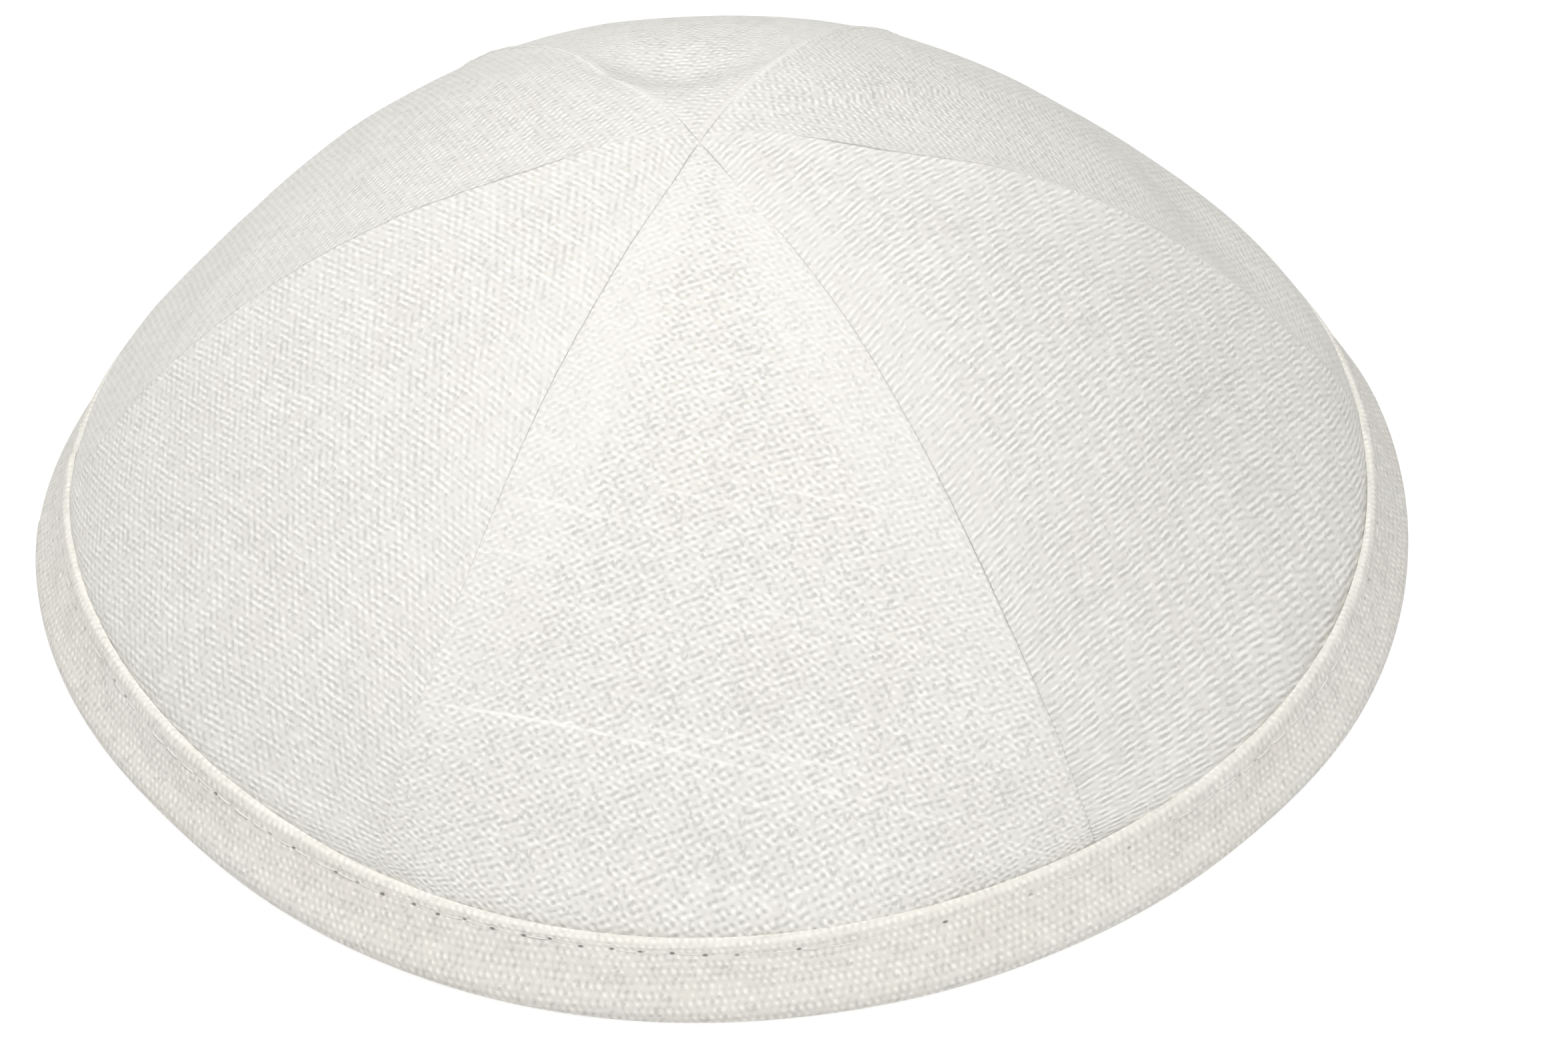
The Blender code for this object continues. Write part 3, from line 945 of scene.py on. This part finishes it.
# Long thick threads that show in the photograph, and one gap
LONG_SLUBS = (
    # where it starts on the flat cloth and its length in mm, its turn in degrees, how much lighter it is
    (963.4, 1053.0, 14.3, -10.5, 0.7),
    (962.3, 1046.4, 8.4, -13.5, 0.6),
    (979.6, 1055.0, 13.3, -4.0, 0.7),
    (992.3, 1057.2, 15.2, 2.8, 0.7),
    (966.2, 1039.9, 27.6, -0.5, 0.45),
    (987.2, 1042.2, 29.4, 0.7, 0.55),
    (956.6, 1026.6, 44.3, -3.6, 1.0),
    (1000.8, 1023.8, 20.7, -2.8, 0.8),
    (980.1, 1026.5, 38.7, -0.8, 0.7),
    (948.1, 1011.9, 51.8, -0.6, 0.5),
    (797.2, 834.6, 27.2, -3.9, 0.7),
    (824.3, 832.8, 15.6, -13.8, 0.7),
    (822.1, 818.7, 9.4, -2.9, 0.55),
    (831.5, 818.2, 9.7, -19.9, 0.55),
    # below 0, the gap: painted shade along it
    (1187.4, 1237.1, 27.5, 3.3, -0.8),
)
SLUB_HALF_WIDTH = 0.25


def slub_group():
    """The long slubs: above 0 along a thick thread, below 0 along a gap. Its place is on the flat cloth,
    in mm."""
    tree, given, out = new_group("long_slubs", (("Wobble", 0.35),), ("Slub",))
    _, minus, times, scaled = arithmetic(tree)
    x, y, _ = split(tree, given["Place"])
    wobble = minus(grain_noise(tree, x, y, 0.16), 0.5)
    place = joined(tree, x, scaled(wobble, given["Wobble"], y))
    patchy = remap(tree, grain_noise(tree, x, y, 0.45), 0.3, 0.6, 0.35, 1.0)
    total = 0.0
    for u, v, length, turn, strength in LONG_SLUBS:
        frame_of_slub = {"Vector": place, "Location": (u, v, 0.0), "Rotation": (0.0, 0.0, math.radians(turn)),
                         "Scale": (length, SLUB_HALF_WIDTH, 1.0)}
        own = wire(tree, "Mapping", frame_of_slub, vector_type="TEXTURE").outputs[0]
        own = split(tree, own)
        ends = calc(tree, "PINGPONG", calc(tree, "MINIMUM", calc(tree, "MAXIMUM", own[0], 0.0), 1.0), 0.5)
        along = remap(tree, ends, 0.0, 0.12)
        across = remap(tree, calc(tree, "ABSOLUTE", own[1]), 0.3, 1.1, 1.0, 0.0)
        total = scaled(times(along, across), strength, total)
    tree.links.new(times(total, patchy), out["Slub"])
    return tree


def tint(colour, share, shift=(1.0, 1.0, 1.0)):
    return tuple(c * share * s for c, s in zip(colour[:3], shift)) + (1.0,)


def blend(tree, share, first, second):
    return wire(tree, "Mix", {0: share, 6: first, 7: second}, data_type="RGBA").outputs[2]


# A needle hole's half size along the stitching and up it, in mm, and the mm of a stitch
HOLE_HALF = (0.42, 0.24)
STITCH_LENGTH = 3.6


def needle_holes(tree):
    """The mask of the small holes along the topstitching, from the band's own map of it."""
    plus, minus, times, scaled = arithmetic(tree)
    place = split(tree, wire(tree, "UVMap", uv_map="stitching").outputs[0])
    along = times(calc(tree, "PINGPONG", place[0], 0.5), STITCH_LENGTH)
    own = wire(tree, "TexWhiteNoise", {"W": calc(tree, "ROUND", place[0])}, noise_dimensions="1D")
    lift = scaled(own.outputs["Value"], 0.3, -0.15)
    off_x = calc(tree, "DIVIDE", along, HOLE_HALF[0])
    off_y = calc(tree, "DIVIDE", minus(place[1], lift), HOLE_HALF[1])
    far = plus(times(off_x, off_x), times(off_y, off_y))
    pull = attribute(tree, "hole")
    return times(remap(tree, far, 0.1, 1.0, 1.0, 0.0), remap(tree, pull, 0.15, 0.55))


def linen_material(name, pitches, pale, relief, slubs, stitched=False):
    """Woven linen. Pitches are between warp and between weft threads and relief is the depth of the weave,
    in mm; pale is the threads' colour."""
    material, tree, shader = new_material(name)
    _, _, times, scaled = arithmetic(tree)
    uv = wire(tree, "UVMap", uv_map="cloth").outputs[0]
    threads = {"Vector": uv, "Scale": (1 / (MM * pitches[0]), 1 / (MM * pitches[1]), 1.0)}
    place = wire(tree, "Mapping", threads).outputs[0]
    weave = use_group(tree, "plain_weave", weave_group, place)
    weave.inputs["Slubs"].default_value = slubs
    for layer in THREAD_LAYERS:
        tree.links.new(attribute(tree, layer), weave.inputs[layer.replace("_", " ").title()])
    tone, on_float = weave.outputs["Tone"], weave.outputs["Float"]
    on_cloth = wire(tree, "Mapping", {"Vector": uv, "Scale": (1 / MM, 1 / MM, 1.0)}).outputs[0]
    slub = use_group(tree, "long_slubs", slub_group, on_cloth).outputs["Slub"]
    patch = wire(tree, "TexNoise", {"Vector": place, "Scale": 0.045, "Detail": 3.0},
                 noise_dimensions="2D").outputs["Fac"]
    colour = blend(tree, remap(tree, patch, 0.35, 0.65), pale, tint(pale, 0.985, (1.0, 0.985, 0.96)))
    colour = blend(tree, remap(tree, tone, 0.32, 0.7), tint(pale, 0.95), colour)
    doubled = attribute(tree, "doubled")
    # doubled cloth shows less shade through it: the painted shade in its gaps and pinholes is weaker there
    gap_shade_share = scaled(doubled, -0.35, 1.0)
    layers = [
        # mask, its strength, how light the cloth is there
        # painted highlight on the tops of the weft floats
        (remap(tree, on_float, 0.1, 0.8), 1.0, 1.16),
        # painted shade in the gaps between the floats
        (times(remap(tree, on_float, 0.0, -0.8), gap_shade_share), 1.0, 0.74),
        # doubled cloth painted a little lighter, as less shade shows through it
        (doubled, 0.35, 1.03),
        (weave.outputs["Slub"], 0.6, 1.08),
        # painted shade in the pinholes
        (times(weave.outputs["Pinhole"], gap_shade_share), 1.0, 0.8),
        (slub, 0.8, 1.17),
        # painted shade along the gap
        (slub, -0.7, 0.66),
        # painted highlight along the seams' lips and the band's roll
        (attribute(tree, "lip_highlight"), 0.9, 1.16),
        # painted shade in the seams' grooves
        (attribute(tree, "seam_shade"), 0.2, 0.35),
        (attribute(tree, "shade"), 1.0, 0.6),
    ]
    if stitched:
        # painted shade in the needle holes
        layers.append((needle_holes(tree), 0.95, 0.28))
    for mask, strength, light in layers:
        share = calc(tree, "MULTIPLY", mask, strength, clamp=True)
        colour = blend(tree, share, colour, tint(pale, light))
    tree.links.new(colour, shader["Base Color"])
    tree.links.new(remap(tree, tone, 0.3, 0.7, 0.92, 0.78, "LINEAR"), shader["Roughness"])
    for key, value in (("Specular IOR Level", 0.3), ("Sheen Weight", 0.1), ("Sheen Roughness", 0.5)):
        shader[key].default_value = value
    relief_node = {"Height": weave.outputs["Height"], "Strength": 1.0, "Distance": relief * MM}
    tree.links.new(wire(tree, "Bump", relief_node).outputs[0], shader["Normal"])
    return material


def thread_material(name, colour):
    material, tree, shader = new_material(name)
    spot = wire(tree, "TexCoord").outputs["Object"]
    ply = wire(tree, "TexNoise", {"Vector": spot, "Scale": 2600.0, "Detail": 2.0}).outputs["Fac"]
    tree.links.new(blend(tree, ply, tint(colour, 0.86), colour), shader["Base Color"])
    tree.links.new(remap(tree, ply, 0.3, 0.7, 0.75, 0.6, "LINEAR"), shader["Roughness"])
    bump = wire(tree, "Bump", {"Height": ply, "Strength": 0.8, "Distance": 0.08 * MM})
    tree.links.new(bump.outputs[0], shader["Normal"])
    return material


def dress(piece, material):
    piece.data.materials.clear()
    piece.data.materials.append(material)


# ---- The studio ----

# The camera looks down by its tilt and is then rolled
CAMERA_TILT = math.radians(41.3551)
CAMERA_ROLL = math.radians(2.0651)
CAMERA_PLACE = (0.0074205, -0.505427, 0.44431)
LENS = 122.65
FLOOR_SIZE = 6.0
WHITE = (1.0, 1.0, 1.0, 1.0)
WORLD_LIGHT = 0.12
SOFTBOX_SIZE = 0.9
SOFTBOX_DISTANCE = 1.2
SOFTBOX_AIM = (0.0, 0.0, 0.03)
SOFTBOXES = (
    # name, azimuth and elevation in degrees, power in watts
    ("front_softbox", -90.0, 70.0, 7.15),
    ("front_right_softbox", -62.0, 61.0, 5.75),
    ("overhead_softbox", 200.0, 80.0, 3.0),
    ("back_left_softbox", 135.0, 45.0, 3.1),
    ("left_softbox", 180.0, 35.0, 0.7),
)


def build_camera():
    data = bpy.data.cameras.new("camera")
    data.lens = LENS
    data.clip_start, data.clip_end = 0.05, 20.0
    camera = bpy.data.objects.new("camera", data)
    bpy.context.scene.collection.objects.link(camera)
    turn = Matrix.Rotation(math.pi / 2 - CAMERA_TILT, 4, "X") @ Matrix.Rotation(-CAMERA_ROLL, 4, "Z")
    camera.matrix_world = Matrix.Translation(CAMERA_PLACE) @ turn
    bpy.context.scene.camera = camera


def build_floor():
    bpy.ops.mesh.primitive_plane_add(size=FLOOR_SIZE)
    floor = bpy.context.object
    floor.name = floor.data.name = "pale_floor"
    material, _, shader = new_material("pale_floor")
    for key, value in (("Base Color", (0.25, 0.25, 0.25, 1.0)), ("Emission Color", WHITE),
                       ("Emission Strength", 0.8), ("Roughness", 0.9), ("Specular IOR Level", 0.1)):
        shader[key].default_value = value
    dress(floor, material)


def soft_light(name, azimuth, elevation, power):
    """A square softbox that faces the cap from an azimuth and an elevation in degrees."""
    data = bpy.data.lights.new(name, "AREA")
    data.size = SOFTBOX_SIZE
    data.energy = power
    light = bpy.data.objects.new(name, data)
    bpy.context.scene.collection.objects.link(light)
    a, e = math.radians(azimuth), math.radians(elevation)
    away = Vector((math.cos(a) * math.cos(e), math.sin(a) * math.cos(e), math.sin(e)))
    light.location = Vector(SOFTBOX_AIM) + away * SOFTBOX_DISTANCE
    light.rotation_euler = (-away).to_track_quat("-Z", "Y").to_euler()


def build_world(strength):
    world = bpy.data.worlds.new("studio")
    world.use_nodes = True
    sky = world.node_tree.nodes["Background"].inputs
    sky["Color"].default_value = WHITE
    sky["Strength"].default_value = strength
    bpy.context.scene.world = world


PANEL_IVORY = (0.795, 0.784, 0.74, 1.0)
BAND_IVORY = (0.77, 0.75, 0.696, 1.0)
THREAD_IVORY = (0.78, 0.77, 0.73, 1.0)


def build_all():
    linen = linen_material("panel_linen", (0.55, 0.86), PANEL_IVORY, 0.1, 0.35)
    bias = linen_material("band_linen", (0.56, 0.8), BAND_IVORY, 0.07, 0.2, stitched=True)
    thread = thread_material("topstitch_thread", THREAD_IVORY)
    for gore in range(len(GORES)):
        dress(build_gore(gore), linen)
    dress(build_band(), bias)
    dress(build_stitches("rim_topstitch", OUTER_STITCH, 1.0), thread)
    dress(build_stitches("rim_topstitch_inside", INNER_STITCH, -1.0), thread)
    build_floor()
    build_world(WORLD_LIGHT)
    for box in SOFTBOXES:
        soft_light(*box)
    build_camera()
    bpy.context.scene.view_settings.view_transform = "Standard"


build_all()
